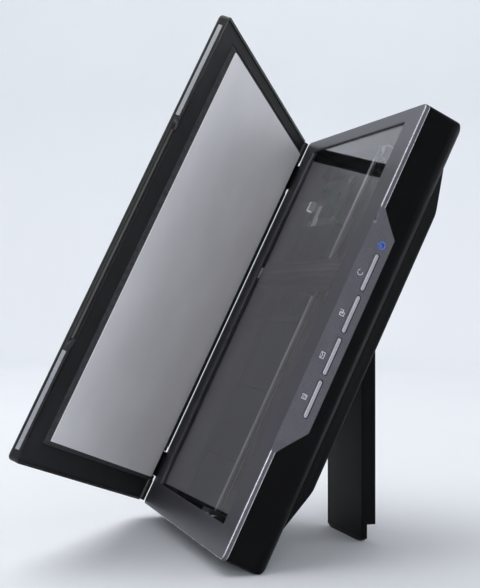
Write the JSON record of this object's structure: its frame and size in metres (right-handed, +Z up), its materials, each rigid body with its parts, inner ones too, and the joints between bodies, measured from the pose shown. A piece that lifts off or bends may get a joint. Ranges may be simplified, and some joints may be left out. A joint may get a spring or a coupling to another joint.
{
  "type": "flatbed scanner",
  "caption": "Slim flatbed scanner standing on a folding rear leg, lid part open, with push buttons on its side, a belt-driven sensor carriage under the glass and a liftable lid hinge.",
  "frame": {"origin": "middle of the rubber heel strip's flat, on the desk plane", "axes": "+X from the hinge side to the button side, +Y to the back towards the folding leg, +Z up; the body leans back 25.8 degrees about X"},
  "size_m": [0.2532, 0.3283, 0.4073],
  "materials": {
    "case_black": "satin black moulded ABS",
    "hull_black": "spark-eroded texture",
    "bezel_silver": "metallic paint",
    "trim_silver": "metallic paint",
    "button_grey": "metallic paint",
    "clear_glass": "polished",
    "white_strip": "matte",
    "board_green": "solder resist",
    "chip_black": "moulded epoxy",
    "light_blue": "clear acrylic",
    "rubber_black": "matte",
    "steel": "ground",
    "brass": "turned",
    "belt_rubber": "matte",
    "white_acetal": "moulded",
    "cable_white": "satin film",
    "lid_black": "satin black moulded ABS",
    "frame_charcoal": "fine texture",
    "foam_grey": "closed-cell foam",
    "sheet_white": "matte film"
  },
  "bodies": {
    "body": {"lower_case": "case_black", "heel_strip": "rubber_black", "top_bezel": "bezel_silver", "scan_glass": "clear_glass", "calibration_strip": "white_strip", "button_board": "board_green", "button_switches": "chip_black", "power_light": "light_blue", "hull_cover": "hull_black", "rubber_feet": "rubber_black", "stand_axle": "steel", "guide_rail": "steel", "rail_clips": "hull_black", "drive_motor": "steel", "motor_bracket": "steel", "drive_axle": "steel", "idler_bracket": "steel", "idler_axle": "steel", "drive_belt": "belt_rubber", "main_board": "board_green", "board_screws": "steel", "board_chips": "chip_black", "usb_socket": "steel", "board_shield": "hull_black", "flat_cable": "cable_white", "case_screws": "steel"},
    "hinge_carriers": {"hinge_carrier_lower": "hull_black", "hinge_carrier_upper": "hull_black", "hinge_pins": "steel"},
    "lid": {"lid_cover": "lid_black", "lid_trim": "trim_silver", "lid_frame": "frame_charcoal", "lid_mat": "foam_grey", "mat_sheet": "sheet_white"},
    "stand": {"stand_leg": "hull_black", "stand_foot_pad": "rubber_black"},
    "carriage": {"sensor_carriage": "hull_black", "scan_sensor": "hull_black", "lens_array": "clear_glass", "light_guide": "clear_glass", "glide_pads": "white_acetal", "sensor_springs": "steel"},
    "drive_pulley": {"drive_pulley": "white_acetal"},
    "idler_pulley": {"idler_pulley": "white_acetal"},
    "motor_rotor": {"motor_shaft": "steel", "motor_pinion": "brass"},
    "button_1": {"button_1": "button_grey"},
    "button_2": {"button_2": "button_grey"},
    "button_3": {"button_3": "button_grey"},
    "button_4": {"button_4": "button_grey"}
  },
  "joints": [
    {"name": "lid_lift", "type": "slide", "parent": "body", "child": "hinge_carriers", "axis": [0, -0.9003, 0.4352], "range_m": [0, 0.012]},
    {"name": "lid_hinge", "type": "hinge", "parent": "hinge_carriers", "child": "lid", "pos_m": [-0.1251, -0.03126, 0.01449], "axis": [0, -0.4352, -0.9003], "range_deg": [-36.7, 143.3]},
    {"name": "stand_pivot", "type": "hinge", "parent": "body", "child": "stand", "pos_m": [0, 0.11886, 0.22071], "axis": [1, 0, 0], "range_deg": [-25.8, 0]},
    {"name": "carriage_slide", "type": "slide", "parent": "body", "child": "carriage", "axis": [0, 0.4352, 0.9003], "range_m": [-0.19, 0.098]},
    {"name": "drive_pulley_spin", "type": "hinge", "parent": "body", "child": "drive_pulley", "pos_m": [0.0145, 0.00266, 0.01365], "axis": [1, 0, 0], "range_deg": [-1400, 2600]},
    {"name": "idler_spin", "type": "hinge", "parent": "body", "child": "idler_pulley", "pos_m": [0.0145, 0.14889, 0.31616], "axis": [1, 0, 0], "range_deg": [-1400, 2600]},
    {"name": "motor_spin", "type": "hinge", "parent": "body", "child": "motor_rotor", "pos_m": [0.0145, -0.00545, 0.01757], "axis": [1, 0, 0], "range_deg": [-5200, 2800]},
    {"name": "button_1_press", "type": "slide", "parent": "body", "child": "button_1", "axis": [-1, 0, 0], "range_m": [0, 0.0006], "stiffness_N_per_m": 900, "springref_m": -0.0006},
    {"name": "button_2_press", "type": "slide", "parent": "body", "child": "button_2", "axis": [-1, 0, 0], "range_m": [0, 0.0006], "stiffness_N_per_m": 900, "springref_m": -0.0006},
    {"name": "button_3_press", "type": "slide", "parent": "body", "child": "button_3", "axis": [-1, 0, 0], "range_m": [0, 0.0006], "stiffness_N_per_m": 900, "springref_m": -0.0006},
    {"name": "button_4_press", "type": "slide", "parent": "body", "child": "button_4", "axis": [-1, 0, 0], "range_m": [0, 0.0006], "stiffness_N_per_m": 900, "springref_m": -0.0006}
  ],
  "couplings": [
    {"joint": "drive_pulley_spin", "follows": "carriage_slide", "rad_per_m": -210.53},
    {"joint": "idler_spin", "follows": "carriage_slide", "rad_per_m": -210.53},
    {"joint": "motor_spin", "follows": "carriage_slide", "rad_per_m": 421.05}
  ]
}
